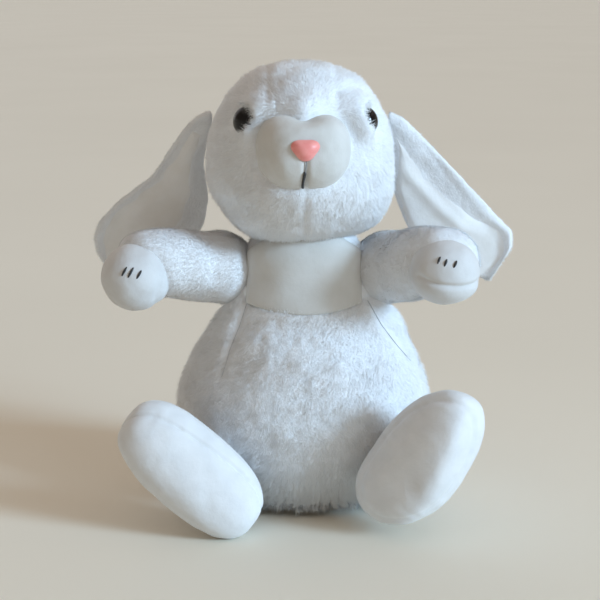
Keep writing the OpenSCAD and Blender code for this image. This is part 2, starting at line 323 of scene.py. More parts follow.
def shader(name, colour, roughness, **sockets):
    """A material with these values set straight on its Principled shader."""
    m = bpy.data.materials.new(name)
    m.use_nodes = True
    b = m.node_tree.nodes["Principled BSDF"]
    b.inputs["Base Color"].default_value = (*colour, 1)
    b.inputs["Roughness"].default_value = roughness
    for k, value in sockets.items():
        b.inputs[k.replace("_", " ")].default_value = value
    return m


def ramp(nt, positions, colours):
    """A colour ramp node with two stops."""
    node = nt.nodes.new("ShaderNodeValToRGB")
    for stop, position, colour in zip(node.color_ramp.elements, positions, colours):
        put(stop, position=position, color=(*colour, 1))
    return node


def grain(m, layers, tints, tint_size, rough, strength, seed=0.0):
    """Adds what makes a surface a material: layers of bump by (size in mm, height in mm), patches of tint,
    and a roughness that varies with the finest layer."""
    nt = m.node_tree
    b = nt.nodes["Principled BSDF"]
    where = nt.nodes.new("ShaderNodeTexCoord").outputs["Object"]

    def noise_node(size, detail=2.0):
        n = nt.nodes.new("ShaderNodeTexNoise")
        n.inputs["Scale"].default_value = 1000.0 / size
        n.inputs["Detail"].default_value = detail
        shift = nt.nodes.new("ShaderNodeVectorMath")
        shift.operation = "ADD"
        shift.inputs[1].default_value = (seed + 0.31, seed, seed - 0.17)
        nt.links.new(where, shift.inputs[0])
        nt.links.new(shift.outputs[0], n.inputs["Vector"])
        return n.outputs["Fac"]

    patches = ramp(nt, (0.3, 0.7), tints)
    nt.links.new(noise_node(tint_size, 4.0), patches.inputs[0])
    nt.links.new(patches.outputs[0], b.inputs["Base Color"])
    previous = None
    for size, height in layers:
        fac = noise_node(size)
        node = nt.nodes.new("ShaderNodeBump")
        node.inputs["Strength"].default_value = strength
        node.inputs["Distance"].default_value = height * MM
        nt.links.new(fac, node.inputs["Height"])
        if previous is not None:
            nt.links.new(previous, node.inputs["Normal"])
        previous = node.outputs[0]
    nt.links.new(previous, b.inputs["Normal"])
    spread = nt.nodes.new("ShaderNodeMapRange")
    spread.inputs["To Min"].default_value, spread.inputs["To Max"].default_value = rough
    nt.links.new(fac, spread.inputs[0])
    nt.links.new(spread.outputs[0], b.inputs["Roughness"])
    return m


def velour_cloth(name, colour, tints, seed, nap=((14.0, 0.9), (2.2, 0.25), (0.45, 0.16)), patch=11.0, sheen=0.3):
    """Cloth with a nap that is too short to be strands."""
    return grain(shader(name, colour, 0.85, Sheen_Weight=sheen, Sheen_Roughness=0.35),
                 nap, tints, patch, (0.7, 0.92), 0.5, seed)


WHITE = (0.87, 0.90, 0.94)
backing = grain(
    shader("plush_backing", WHITE, 0.9, Sheen_Weight=0.3, Sheen_Roughness=0.5),
    [(9.0, 1.0), (1.6, 0.7), (0.5, 0.3)], [(0.80, 0.82, 0.85), WHITE], 14.0, (0.8, 0.98), 0.6)
velour = velour_cloth("velour", (0.65, 0.655, 0.66), [(0.62, 0.625, 0.63), (0.67, 0.68, 0.69)], 2.0)
# Velour for the bib and the muzzle, darker and warmer than the paws' velour: partly the cloth's cream colour, partly
# painted shade.
velour_cream_and_painted_shade = velour_cloth("velour_cream_and_painted_shade", (0.62, 0.615, 0.59), [(0.60, 0.595, 0.57), (0.65, 0.645, 0.625)], 2.0)
foot_velour = velour_cloth("foot_velour", (0.77, 0.79, 0.81), [(0.73, 0.75, 0.77), (0.79, 0.81, 0.83)], 6.0)
# The ear lining's velour is lighter than the other velour: partly its own colour, partly painted light that lifts the
# shade the head casts on the ears.
ear_lining_painted_light = velour_cloth("ear_lining_painted_light", (0.80, 0.80, 0.80), [(0.78, 0.78, 0.77), (0.84, 0.85, 0.86)], 5.0,
                          nap=((12.0, 1.0), (2.0, 0.25), (0.45, 0.16)), patch=13.0, sheen=0.35)
PILE_TINTS = [
    shader("pile_bright", (0.95, 0.97, 0.99), 0.8),
    shader("pile_plain", (0.93, 0.955, 0.98), 0.85),
    shader("pile_shade", (0.88, 0.905, 0.935), 0.9),
]
satin = grain(
    shader("nose_satin", (0.9, 0.3, 0.28), 0.4, Sheen_Weight=0.4, Coat_Weight=0.15, Coat_Roughness=0.35),
    [(0.5, 0.10), (3.0, 0.15)], [(0.88, 0.26, 0.24), (0.95, 0.36, 0.33)], 5.0, (0.34, 0.5), 0.5, 7.0)
def sewing_thread(name, colour, tints, roughness, rough, height=0.1, **sockets):
    return grain(shader(name, colour, roughness, **sockets), [(0.35, height)], tints, 1.2, rough, 0.8, 9.0)


thread = sewing_thread("black_thread", (0.015, 0.015, 0.016), [(0.008, 0.008, 0.009), (0.03, 0.03, 0.032)],
                       0.6, (0.5, 0.7), height=0.12, Sheen_Weight=0.2)
grey_thread = sewing_thread("grey_thread", (0.25, 0.25, 0.26), [(0.2, 0.2, 0.2), (0.34, 0.34, 0.35)], 0.7, (0.6, 0.8))
# Grey for the lines along the seams below the bib: painted shade of the seams' creases, drawn as thread.
seam_painted_shade = sewing_thread("seam_painted_shade", (0.56, 0.59, 0.63), [(0.50, 0.53, 0.57), (0.62, 0.65, 0.69)],
                            0.8, (0.7, 0.85))
eye_black = grain(
    shader("eye_gloss", (0.004, 0.004, 0.005), 0.06, Specular_IOR_Level=0.25, Coat_Weight=0.2, Coat_Roughness=0.03),
    [(6.0, 0.02)], [(0.003, 0.003, 0.004), (0.007, 0.007, 0.007)], 4.0, (0.04, 0.07), 0.2, 1.0)
washer_white = grain(
    shader("washer_nylon", (0.82, 0.82, 0.8), 0.45),
    [(1.5, 0.05)], [(0.78, 0.78, 0.75), (0.85, 0.85, 0.83)], 6.0, (0.38, 0.52), 0.3, 4.0)


# --- Pile

PILE_W = 0.36  # width of a strand at its root
ROOT_DEPTH = 0.4  # how far a strand starts inside the skin
PILE_FLOOR = 0.5  # no tip is lower than this
FLATTEST = 84  # degrees from the skin's normal


def even(value):
    """The same value at every point."""
    return lambda p: np.full(len(p), value)


def one_way(direction):
    """The same direction at every point."""
    return lambda p: np.broadcast_to(direction, (len(p), 3))


def pile(name, v, f, body, *, density, length, flow, keep, seed, lean=64.0, width=PILE_W, clump=even(0.22), tuft=3.4):
    """A coat of short tapered strands on the skin (v, f), density of them on each square millimetre.

    length, flow, keep and clump are functions of the roots' positions: how long a strand is, the way it is brushed,
    how much of the coat is there, and how far its tip is pulled to the middle of its tuft.
    """
    rng = np.random.default_rng(seed)
    n = corner_normals(v, f)
    tri = np.concatenate([f[:, [0, 1, 2]], f[:, [0, 2, 3]]])
    a, b, c = v[tri[:, 0]], v[tri[:, 1]], v[tri[:, 2]]
    area = np.linalg.norm(np.cross(b - a, c - a), axis=1) / 2
    area *= keep((a + b + c) / 3) > 0
    count = int(area.sum() * density)
    pick = np.searchsorted(np.cumsum(area), (np.arange(count) + rng.random(count)) / count * area.sum())
    pick = np.minimum(pick, len(tri) - 1)
    u, w = rng.random(count), rng.random(count)
    flip = u + w > 1
    u[flip], w[flip] = 1 - u[flip], 1 - w[flip]
    weight = np.stack([1 - u - w, u, w], 1)[:, :, None]
    root = (v[tri[pick]] * weight).sum(1)
    normal = unit((n[tri[pick]] * weight).sum(1))
    stay = rng.random(count) < keep(root)
    root, normal = root[stay], normal[stay]
    count = len(root)
    along = flow(root)
    along = unit(along - (along * normal).sum(1, keepdims=True) * normal)
    across = np.cross(normal, along)
    swing = 0.6 * noise(root, 16.0, seed + 1) + 0.35 * noise(root, 5.0, seed + 2)
    swing = swing + 0.28 * rng.standard_normal(count)
    along, across = (np.cos(swing)[:, None] * along + np.sin(swing)[:, None] * across,
                     np.cos(swing)[:, None] * across - np.sin(swing)[:, None] * along)
    tilt = lean + 7 * rng.standard_normal(count) + 7 * noise(root, 9.0, seed + 3)
    tilt = np.radians(np.minimum(tilt, FLATTEST))
    reach = (length(root) * (1 + 0.16 * rng.standard_normal(count)))[:, None]
    tip = root + reach * (np.cos(tilt)[:, None] * normal + np.sin(tilt)[:, None] * along)
    wander = root + 1.6 * np.stack([noise(root, 4.5, seed + k) for k in (4, 5, 6)], 1)
    pull = (np.floor(wander / tuft) + 0.5) * tuft - wander
    pull -= (pull * normal).sum(1, keepdims=True) * normal
    tip += pull * clump(root)[:, None]
    tip[:, 2] = np.maximum(tip[:, 2], PILE_FLOOR)
    roll = rng.standard_normal(count)[:, None] * 0.3
    side = unit(np.cross(along, normal) + roll * normal) * width / 2
    foot = root - ROOT_DEPTH * normal
    blade = np.stack([foot - side, foot + side, tip], 1).reshape(-1, 3)
    faces = np.arange(count * 3).reshape(-1, 3)
    shade = unit(normal + 0.25 * along + 0.12 * rng.standard_normal((count, 3)))
    tint = np.clip((noise(root, 11.0, seed + 7) * 0.9 + 0.55 * rng.standard_normal(count) + 0.9), 0, 2).round()
    return piece(name, blade, faces, PILE_TINTS, "plush", body, tint=tint, normals=np.repeat(shade, 3, axis=0))


# --- Forms shared with the CAD

BELLY_R, BELLY_Z, SEAT_R, NECK_R, NECK_Z, TORSO_DEPTH = 81.0, 56.0, 50.0, 41.0, 150.0, 0.72
HEAD_R, HEAD_HALF_H, HEAD_DEPTH, CHEEK_LEVEL = 59.0, 54.5, 0.92, -0.3
HEAD = Place((-2.5, 4, 218), ("z", 3.5), ("x", -6))
EAR_L = 118.0
ARM_BALL_R, SOLE_SEAM = 25.0, -9.0
HIP_BALL_R, LEG_R = 23.5, 16.5


def shoulder(side):
    return np.array([side * 52.0, 0, 145])


def hip(side):
    return np.array([side * 54.0, -41, 34])


def eye_place(side):
    round_by, up = (math.radians(47.5), 17.8) if side == LEFT else (math.radians(43), 18.3)
    reach = head_width(up / HEAD_HALF_H)
    local = Place((side * reach * math.sin(round_by), -reach * HEAD_DEPTH * math.cos(round_by), up),
                  ("z", side * 58), ("x", 74))
    both = Place(HEAD.out(local.o))
    both.m = HEAD.m @ local.m
    return both


def torso_radius(z):
    """The torso's half width at a height. It is TORSO_DEPTH times as deep."""
    low = SEAT_R + (BELLY_R - SEAT_R) * np.maximum(1 - np.abs(1 - z / BELLY_Z) ** 2.2, 0) ** (1 / 2.2)
    t = np.clip((z - BELLY_Z) / (NECK_Z - BELLY_Z), 0, 1) ** 1.1
    return np.where(z < BELLY_Z, low, NECK_R + (BELLY_R - NECK_R) * (1 + np.cos(np.pi * t)) / 2)


def head_width(s):
    """The head's half width at a height from -1, its chin, to 1, its crown."""
    s = np.asarray(s, float)
    upper = s > CHEEK_LEVEL
    rise = np.where(upper, (s - CHEEK_LEVEL) / (1 - CHEEK_LEVEL), (CHEEK_LEVEL - s) / (1 + CHEEK_LEVEL))
    power = np.where(upper, 2.35, 2.6)
    return HEAD_R * np.maximum(1 - rise ** power, 0) ** (1 / power)


def inside_torso(p, by=5.0):
    """Which points are inside the torso by at least this much."""
    r = torso_radius(np.clip(p[:, 2], 0, NECK_Z)) - by
    return (p[:, 0] / r) ** 2 + (p[:, 1] / (r * TORSO_DEPTH)) ** 2 < 1


def torso_outline():
    z = np.linspace(0, NECK_Z, 120)
    return np.concatenate([
        [[0, 0], [SEAT_R * 0.5, 0]], np.stack([torso_radius(z), z], 1),
        arc(0, 90, 30, NECK_R, NECK_R * TORSO_DEPTH, NECK_Z)[1:]])


def head_outline():
    s = np.sin(np.linspace(-np.pi / 2, np.pi / 2, 160))
    return np.stack([head_width(s), HEAD_HALF_H * s], 1)


def torso_front(x, z):
    """Where the front of the torso is, as y."""
    r = np.where(z < NECK_Z, torso_radius(np.minimum(z, NECK_Z)),
                 NECK_R * np.sqrt(np.maximum(1 - ((z - NECK_Z) / (NECK_R * TORSO_DEPTH)) ** 2, 0)))
    return -TORSO_DEPTH * np.sqrt(np.maximum(r ** 2 - x ** 2, 0))


def soft_form(name, outline, depth_ratio, cap, inset, held, coarse=24):
    """A turned form as cloth: a coarse mesh, filled by simulation, then made finer. Returns vertices and quads.

    It starts inside the outline by inset and most of cap, and swells by cap at most except where held is true.
    """
    dirs, f = cube_sphere(coarse)
    v = puffed(lathe(dirs, outline, depth_ratio), f, -inset - cap * 0.6)
    return finer(stuffed(name, v, f, held(v), cap), f, times=2)


# --- Torso

TORSO_SIDE_SEAM = 8.0  # y of the seam between the front and back panels
BIB_HALF_W, BIB_Z, BIB_TOP, BIB_NARROWS = 37.0, 128.0, 173.0, 157.0
HIP_BALD, SHOULDER_BALD = 14, 23  # where a limb is sewn on, the torso has no pile
TAIL_R, TAIL_Z = 10.5, 27.0
DART = {  # the long seams that run down from the bib's corners, as (x, z)
    LEFT: [(38, BIB_Z + 1), (47, 114), (57, 101), (66, 90)],
    RIGHT: [(-34, BIB_Z + 1), (-39, 114), (-45, 100), (-50, 84)],
}


def bib_foot(x):
    """The bib's lower edge, which sags."""
    return BIB_Z - 4.5 * (1 - (x / BIB_HALF_W) ** 2)


def torso_seams(v):
    """How near each point of the torso is to a seam, and how deep that seam pulls."""
    front = smooth(6, -6, v[:, 1])
    belly = smooth(bib_foot(v[:, 0]) + 2, bib_foot(v[:, 0]) - 2, v[:, 2])
    lines = [(np.abs(v[:, 0] - 1), 0.1 * belly * front + 0.9 * smooth(-4, 8, v[:, 1])),
             (np.abs(v[:, 1] - TORSO_SIDE_SEAM), np.full(len(v), 1.2))]
    for side in (LEFT, RIGHT):
        d, share = path_distance(v[:, [0, 2]], DART[side])
        lines.append((d, 2.2 * front * smooth(1.0, 0.6, share)))
    return lines


def on_seam(lines, reach, least=0.6):
    """Which points are this near a seam that pulls at least this deep."""
    return np.any([(d < reach) & (depth > least) for d, depth in lines], axis=0)


def seam_dip(lines, amount, width, least=0.0):
    """A factor that is below 1 beside the seams, by the amount at most."""
    return np.min([1 - amount * bump(d, width) * np.clip(depth - least, 0, 1) for d, depth in lines], axis=0)


def torso_skin():
    v, f = soft_form("torso", torso_outline(), TORSO_DEPTH, cap=2.4, inset=1.6,
                     held=lambda v: on_seam(torso_seams(v), 1.5) | (v[:, 2] < 3.5) | (v[:, 2] > NECK_Z - 2))
    shift = np.zeros(len(v))
    for d, depth in torso_seams(v):
        shift -= depth * bump(d, 2.2) + 0.35 * depth * bump(d, 8) * noise(v, 7.0, 11)
    shift += 0.8 * noise(v, 26.0, 12) + 0.5 * noise(v, 11.0, 13) + 0.4 * noise(v, 4.8, 19)
    for side in (LEFT, RIGHT):
        to_arm = v - shoulder(side)
        d = np.linalg.norm(to_arm, axis=1)
        turned = np.arctan2(to_arm[:, 2], to_arm[:, 1])
        shift -= 0.8 * bump(d - 27, 4) * (0.5 + 0.5 * np.sin(7 * turned))
        shift += 5.0 * bump(np.linalg.norm(v - hip(side), axis=1), 20)
    flank = smooth(0.6, 0.95, np.abs(v[:, 0]) / np.maximum(torso_radius(np.clip(v[:, 2], 0, NECK_Z)), 1))
    shift += flank * bump(v[:, 2] - 114, 19) * np.where(v[:, 0] > 0, 6.5, 3.0)
    shift += flank * bump(v[:, 2] - 78, 30) * 1.2
    shift *= smooth(2, 10, v[:, 2])
    shift -= 4.5 * smooth(10, 3, v[:, 2])
    v = puffed(v, f, shift)
    v[:, 2] = np.maximum(v[:, 2], 0.3)
    return v, f


torso_v, torso_f = torso_skin()
piece("torso_skin", torso_v, torso_f, backing, "plush", "torso", fill=0.85, nodes=[
    "seat_base", "belly_left", "belly_right", "back_left", "back_right", "torso_stuffing", "pellet_pouch"])


def in_bib(p, margin):
    """Which points the bib covers, without a margin along its edge."""
    return (np.abs(p[:, 0]) < BIB_HALF_W - margin) & (p[:, 2] > bib_foot(p[:, 0]) + margin) & (p[:, 1] < 0)


def torso_keep(p):
    """Dense pile low down and thin pile above, with none where the bib and the limbs are."""
    k = 0.42 + 0.58 * smooth(46, 14, p[:, 2])
    k[in_bib(p, 0.2 + 0.8 * noise(p, 2.5, 34))] = 0
    k[(p[:, 2] > NECK_Z + 20) | (p[:, 2] < 0.8)] = 0
    k[on_seam(torso_seams(p), 0.7, least=1.3)] = 0
    for side in (LEFT, RIGHT):
        k[np.linalg.norm(p - shoulder(side), axis=1) < SHOULDER_BALD] = 0
        k[np.linalg.norm(p - hip(side), axis=1) < HIP_BALD] = 0
    return k


def torso_length(p):
    low = smooth(30, 6, p[:, 2])
    return (3.4 + 3.6 * low) * seam_dip(torso_seams(p), 0.6, 3.0, least=1.0) * (1 + 0.15 * noise(p, 12.0, 31))


def torso_clump(p):
    return 0.2 + 0.5 * smooth(44, 12, p[:, 2]) + 0.1 * noise(p, 15.0, 33)


def torso_flow(p):
    """Down, and a little outwards."""
    return p * [0.012, 0.01, 0] - [0, 0, 1.0]


def on_front(p):
    return p[:, 1] < TORSO_SIDE_SEAM


for name, zone, seed in (
    ("belly_left_pile", lambda p: on_front(p) & (p[:, 0] >= 0), 101),
    ("belly_right_pile", lambda p: on_front(p) & (p[:, 0] < 0), 102),
    ("back_left_pile", lambda p: ~on_front(p) & (p[:, 0] >= 0), 103),
    ("back_right_pile", lambda p: ~on_front(p) & (p[:, 0] < 0), 104),
):
    pile(name, torso_v, torso_f, "torso", density=4.0, length=torso_length, flow=torso_flow,
         keep=lambda p, zone=zone: torso_keep(p) * zone(p), seed=seed, clump=torso_clump)

# A fringe of long tufts round the foot of the torso
pile("seat_fringe_pile", torso_v, torso_f, "torso", density=5.0, length=lambda p: 7.0 + 1.5 * noise(p, 5.0, 35),
     flow=lambda p: p * [0.01, 0.01, 0] - [0, 0, 0.8],
     keep=lambda p: torso_keep(p) * smooth(1, 4, p[:, 2]) * smooth(19, 10, p[:, 2]),
     seed=106, lean=50.0, width=0.5, clump=even(0.9), tuft=5.2)


def bib_foot_keep(p):
    near = bump(p[:, 2] - bib_foot(p[:, 0]) + 1.2, 1.2)
    return ((np.abs(p[:, 0]) < BIB_HALF_W) & (p[:, 1] < 0)) * near


# The plush laps over the foot of the bib
pile("bib_edge_pile", torso_v, torso_f, "torso", density=5.0, length=lambda p: 3.0 + 0.8 * noise(p, 3.0, 36),
     flow=one_way([0, 0, 1.0]), keep=bib_foot_keep, seed=107, lean=60.0, clump=even(0.4))


def dart_shade_line(side, word):
    """A grey line of painted shade along a long seam that runs down from a corner of the bib, drawn as a thin tube.
    """
    share = np.linspace(0.03, 0.97, 60)
    path = np.array(DART[side], float)
    x, z = (np.interp(share * (len(path) - 1), np.arange(len(path)), path[:, k]) for k in (0, 1))
    front = torso_v[torso_v[:, 1] < 0]
    near = np.hypot(front[:, None, 0] - x, front[:, None, 2] - z).argmin(0)
    y = np.convolve(np.pad(front[near, 1], 3, mode="edge"), np.ones(7) / 7, mode="valid")
    line = np.stack([x, y - (0.6 if side == LEFT else 0.1), z], 1)
    # The tube is painted shade along the seam's crease.
    piece(f"dart_{word}_thread", *tube(line, 0.28, 8), seam_painted_shade, "thread", "torso")


for side, word in SIDES:
    dart_shade_line(side, word)


def bib():
    """The velour chest panel: a thin closed pillow on the front of the torso."""
    u, t = np.meshgrid(np.linspace(-1, 1, 65), np.linspace(0, 1, 49), indexing="ij")
    z = BIB_Z + t * (BIB_TOP - BIB_Z)
    x = u * (BIB_HALF_W - 0.4) * (1 - 0.42 * smooth(BIB_NARROWS, BIB_TOP, z))
    z = z + (bib_foot(x) + 0.4 - BIB_Z) * (1 - t)
    y = torso_front(x, z)
    p = np.stack([x, y, z], -1)
    n_out = unit(np.cross(np.gradient(p, axis=1), np.gradient(p, axis=0)))
    n_out *= np.where(n_out[..., 1:2] > 0, -1, 1)
    edge = np.minimum((1 - np.abs(u)) * BIB_HALF_W, t * 44)
    swell = -2.2 + 2.3 * (1 - np.exp(-edge / 3.0))
    swell = swell + 0.7 * noise(p.reshape(-1, 3), 17.0, 41).reshape(x.shape) * smooth(0, 8, edge)
    v, f = leaf(p + n_out * swell[..., None], p + n_out * (-PILE - 2.4))
    # The bib's velour carries painted shade in its darker, warmer colour.
    piece("chest_bib_velour", v, f, velour_cream_and_painted_shade, "velour", "torso", ["chest_bib"], fill=0.3)


def tail():
    dirs, f = cube_sphere(16)
    middle = np.array([0, TORSO_DEPTH * torso_radius(TAIL_Z) + 5, TAIL_Z])
    v = dirs * (TAIL_R + 0.8 * noise(dirs * 10, 4.0, 51))[:, None] + middle
    piece("tail_core", v, f, backing, "plush", "torso", ["tail"], fill=0.7)
    pile("tail_pile", v, f, "torso", density=3.6, length=even(5.2),
         flow=lambda p: unit(p - middle) + [0, 0, -0.5], keep=lambda p: np.where(p[:, 1] > middle[1] - 9, 1.0, 0.0),
         seed=105, lean=54, width=0.4, clump=even(0.4))


bib()
tail()

# --- Head

GUSSET_HALF_W, HEAD_SIDE_SEAM = 20.0, 12.0
FACE_MIDDLE, FACE_SIZE = np.array([-0.6, -37.0, 0.0]), np.array([28.3, 27.5, 24.2])
FACE_POWER = 2.35  # 2 is an ellipsoid, and more is squarer
NOSE_HALF_W = 7.9
FACE_SEAM_X = 0.01  # the direction in which the fold down the middle of the muzzle lies
EYE_R, EYE_SINK, EYE_LAYER = 8.5, 4.0, 12  # dome, how deep it sits, and what counts as beside it
MOUTH_TOP, STITCH_TOP, STITCH_PITCH = -14, -30, 4.2  # degrees down the muzzle
EYES = {side: eye_place(side) for side in (LEFT, RIGHT)}


def head_seams(p):
    """As torso_seams, in the head's frame."""
    before = smooth(HEAD_SIDE_SEAM + 2, HEAD_SIDE_SEAM - 2, p[:, 1])
    return [(np.abs(np.abs(p[:, 0]) - GUSSET_HALF_W), 0.65 * smooth(18, 34, p[:, 2]) * before),
            (np.abs(p[:, 0]), 0.5 * smooth(-8, -16, p[:, 2]) * before),
            (np.abs(p[:, 1] - HEAD_SIDE_SEAM), np.full(len(p), 0.9)),
            (np.abs(p[:, 0]), 0.7 * smooth(HEAD_SIDE_SEAM, HEAD_SIDE_SEAM + 4, p[:, 1]))]


def face_point(dirs):
    """The muzzle's surface in these directions from its middle, in the head's frame: an egg with a dip at the top."""
    full = (np.abs(dirs) ** FACE_POWER).sum(1) ** (-1 / FACE_POWER)
    dip = bump(dirs[:, 0] - 0.02, 0.36) * smooth(0.45, 0.95, dirs[:, 2])
    return FACE_MIDDLE + dirs * FACE_SIZE * (full * (1 - 0.24 * dip))[:, None]


def muzzle_depth(p):
    """How far outside the muzzle's form a point of the head's frame is, in mm, roughly."""
    q = (p - FACE_MIDDLE) / FACE_SIZE
    size = np.linalg.norm(q, axis=1, keepdims=True)
    reach = np.linalg.norm((face_point(q / size) - FACE_MIDDLE) / FACE_SIZE, axis=1)
    return (size[:, 0] - reach) * FACE_SIZE[2]


def beside_eye(side, p):
    """How much a point is at the nose side of an eye or above it, from 0 to 1, and how far from its middle."""
    e = EYES[side].into(p)
    r = np.maximum(np.hypot(e[:, 0], e[:, 1]), 0.1)
    inner = (-side * e[:, 0] * 0.95 + e[:, 1] * 0.3) / r
    return smooth(-0.35, 0.5, inner) * (np.abs(e[:, 2]) < EYE_LAYER), r


def head_skin():
    v, f = soft_form("head", head_outline(), HEAD_DEPTH, cap=2.2, inset=0.9,
                     held=lambda v: on_seam(head_seams(v), 1.6) | (muzzle_depth(v) < 1))
    shift = 0.8 * noise(v, 24.0, 14) + 0.55 * noise(v, 10.0, 15) + 0.45 * noise(v, 4.8, 20)
    for d, depth in head_seams(v):
        shift -= depth * bump(d, 2.0) + 0.3 * depth * bump(d, 7) * noise(v, 6.0, 16)
    shift -= 1.4 * bump(muzzle_depth(v), 3.0)
    shift += 2.5 * bump(v[:, 0] + 1, 11) * bump(v[:, 2] - 25, 9) * smooth(-10, -30, v[:, 1])
    world = HEAD.out(v)
    for side in (LEFT, RIGHT):
        inner, r = beside_eye(side, world)
        swell = smooth(5.5, 9.0, r) * smooth(23, 9, r) * smooth(-1, 7, muzzle_depth(v))
        shift += (7.0 if side == LEFT else 5.4) * inner * swell
    shift -= 3.8 * bump(v[:, 2] + 36, 13) * smooth(-16, -44, v[:, 0])
    v = puffed(v, f, shift)
    v[:, 2] -= 3.4 * smooth(-30, -54, v[:, 2])
    return HEAD.out(v), f


head_v, head_f = head_skin()
piece("head_skin", head_v, head_f, backing, "plush", "head",
      ["head_gusset", "cheek_left", "cheek_right", "head_back", "head_stuffing"], fill=0.9)


def head_keep(p):
    """Pile all over, but for the muzzle, the neck and the eyes."""
    q = HEAD.into(p)
    k = np.ones(len(p))
    k[muzzle_depth(q) < -0.9] = 0
    k[(q[:, 2] < -50) & (np.hypot(q[:, 0], q[:, 1]) < 24)] = 0
    for side, eye in EYES.items():
        e = eye.into(p)
        k[(np.hypot(e[:, 0], e[:, 1]) < EYE_R - 0.3) & (np.abs(e[:, 2]) < EYE_LAYER)] = 0
    return k


def head_length(p):
    q = HEAD.into(p)
    short = 1 - 0.3 * smooth(6, 0, muzzle_depth(q))
    return 3.5 * seam_dip(head_seams(q), 0.15, 1.5) * short * (1 + 0.15 * noise(p, 12.0, 32))


def head_flow(p):
    """Pile brushed back from the middle of the face, and down."""
    q = HEAD.into(p)
    away = unit(q - np.array([0, -60, 4]))
    return HEAD.way(away + [0, 0.2, -0.55])


def on_face(q):
    return q[:, 1] < HEAD_SIDE_SEAM


def on_gusset(q):
    return (np.abs(q[:, 0]) < GUSSET_HALF_W) & (q[:, 2] > 0)


for name, zone, seed in (
    ("head_gusset_pile", lambda q: on_face(q) & on_gusset(q), 111),
    ("cheek_left_pile", lambda q: on_face(q) & ~on_gusset(q) & (q[:, 0] >= 0), 112),
    ("cheek_right_pile", lambda q: on_face(q) & ~on_gusset(q) & (q[:, 0] < 0), 113),
    ("head_back_pile", lambda q: ~on_face(q), 114),
):
    pile(name, head_v, head_f, "head", density=1.8, length=head_length, flow=head_flow,
         keep=lambda p, zone=zone: head_keep(p) * zone(HEAD.into(p)), seed=seed)


def muzzle_point(across, up, proud=0.0):
    """A point on the muzzle, by degrees across from its middle and up."""
    d = heading(across, up)
    return HEAD.out(face_point(d) + proud * d)


def muzzle():
    dirs, f = cube_sphere(56)
    v = face_point(dirs)
    x, z = dirs[:, 0], dirs[:, 2]
    front = smooth(0.0, -0.5, dirs[:, 1])
    under = smooth(0.05, -0.3, z)
    swell = -0.4 - 1.2 * bump(x - FACE_SEAM_X, 0.06) * under * front
    swell += 0.8 * front * under * bump(np.abs(x - FACE_SEAM_X) - 0.4, 0.3)
    swell += 0.45 * noise(v, 14.0, 17) + 0.2 * noise(v, 5.0, 18)
    # The muzzle's velour carries painted shade in its darker, warmer colour.
    piece("muzzle_velour", HEAD.out(puffed(v, f, swell)), f, velour_cream_and_painted_shade, "velour", "head", ["muzzle"], fill=0.9)


def nose():
    """A satin triangle with round corners, padded, with its edge tucked under."""
    dirs, f = cube_sphere(20)
    a = np.arctan2(dirs[:, 2], dirs[:, 0])
    half = NOSE_HALF_W * (1 + 0.12 * np.cos(3 * (a - np.pi / 2 + np.pi / 3)))
    rho = np.hypot(dirs[:, 0], dirs[:, 2])
    spread = np.sin(np.minimum(1, rho) * np.pi / 2) ** 0.8
    x, z = np.cos(a) * half * spread * 1.02 - 0.2, np.sin(a) * half * spread * 0.78 + 0.8
    y = np.where(dirs[:, 1] < 0, -3.3 * (1 - spread ** 2.6), 1.5 * (1 - spread))
    on = (muzzle_point(np.degrees(x / 29), np.degrees(z / 24.8)) - HEAD.o) @ HEAD.m
    v = HEAD.out(on + (y - 0.2)[:, None] * [0, 1, 0])
    piece("nose_satin_pad", v, f, satin, "nose", "head", ["nose"], fill=0.8)


def mouth_across(drop):
    """The mouth leans a little to one side on its way down."""
    return 0.7 - 5.0 * smooth(MOUTH_TOP, -60, drop)


def mouth():
    """A thin drawn thread under the nose, and then black stitches."""
    drop = np.linspace(MOUTH_TOP, -38, 20)
    fine = tube(muzzle_point(mouth_across(drop), drop, -0.55), 0.36, 8)
    piece("mouth_fold_thread", *fine, grey_thread, "thread", "head")
    stitches = []
    for k in range(7):
        top = STITCH_TOP - STITCH_PITCH * k
        t = np.linspace(top, top - 4.4, 7)
        sag = np.sin(np.linspace(0, np.pi, 7))
        middle = muzzle_point(mouth_across(t) + np.linspace(-0.8, 0.8, 7), t, -0.35)
        stitches.append(tube(middle + 0.35 * sag[:, None] * HEAD.way([0, -1, 0]), 0.55 + 0.3 * sag, 10))
    piece("mouth_stitches", *join(stitches), thread, "thread", "head", ["mouth_stitch"])


muzzle()
nose()
mouth()


def eye(side, word):
    """A glossy dome on a shank."""
    shank = [(0, -12), (2, -12), (2, -0.6), (7.6, -0.6), (8.2, -0.3)]
    outline = np.concatenate([shank, arc(0, 90, 24, EYE_R, 7)])
    dirs, f = cube_sphere(20)
    v = lathe(dirs, outline) - [0, 0, EYE_SINK]
    piece(f"eye_{word}_dome", EYES[side].out(v), f, eye_black, "eye", "head", [f"eye_{word}"])


def lashes(side, word, seed):
    """Pile at the nose side of an eye, which leans over its edge."""
    def lash_keep(p):
        inner, r = beside_eye(side, p)
        return inner * (r > 5.6) * smooth(12, 9, r)

    pile(f"eye_{word}_lashes", head_v, head_f, "head", density=3.6, length=even(4.2),
         flow=lambda p: EYES[side].o - p, keep=lash_keep, seed=seed, lean=46.0, clump=even(0.3))


for side, word in SIDES:
    eye(side, word)
    lashes(side, word, 120 + side)

# --- Ears

LINING_TOP, LINING_END = 0.045, 0.97  # shares of the ear's length


def along(t, *stops):
    """A value that passes smoothly through (share of the length, value) stops."""
    fine = np.linspace(-0.3, 1.3, 1601)
    level = np.interp(fine, [a for a, b in stops], [b for a, b in stops])
    kernel = np.hanning(81)
    level = np.convolve(np.pad(level, 40, mode="edge"), kernel / kernel.sum(), mode="valid")
    return np.interp(t, fine, level)


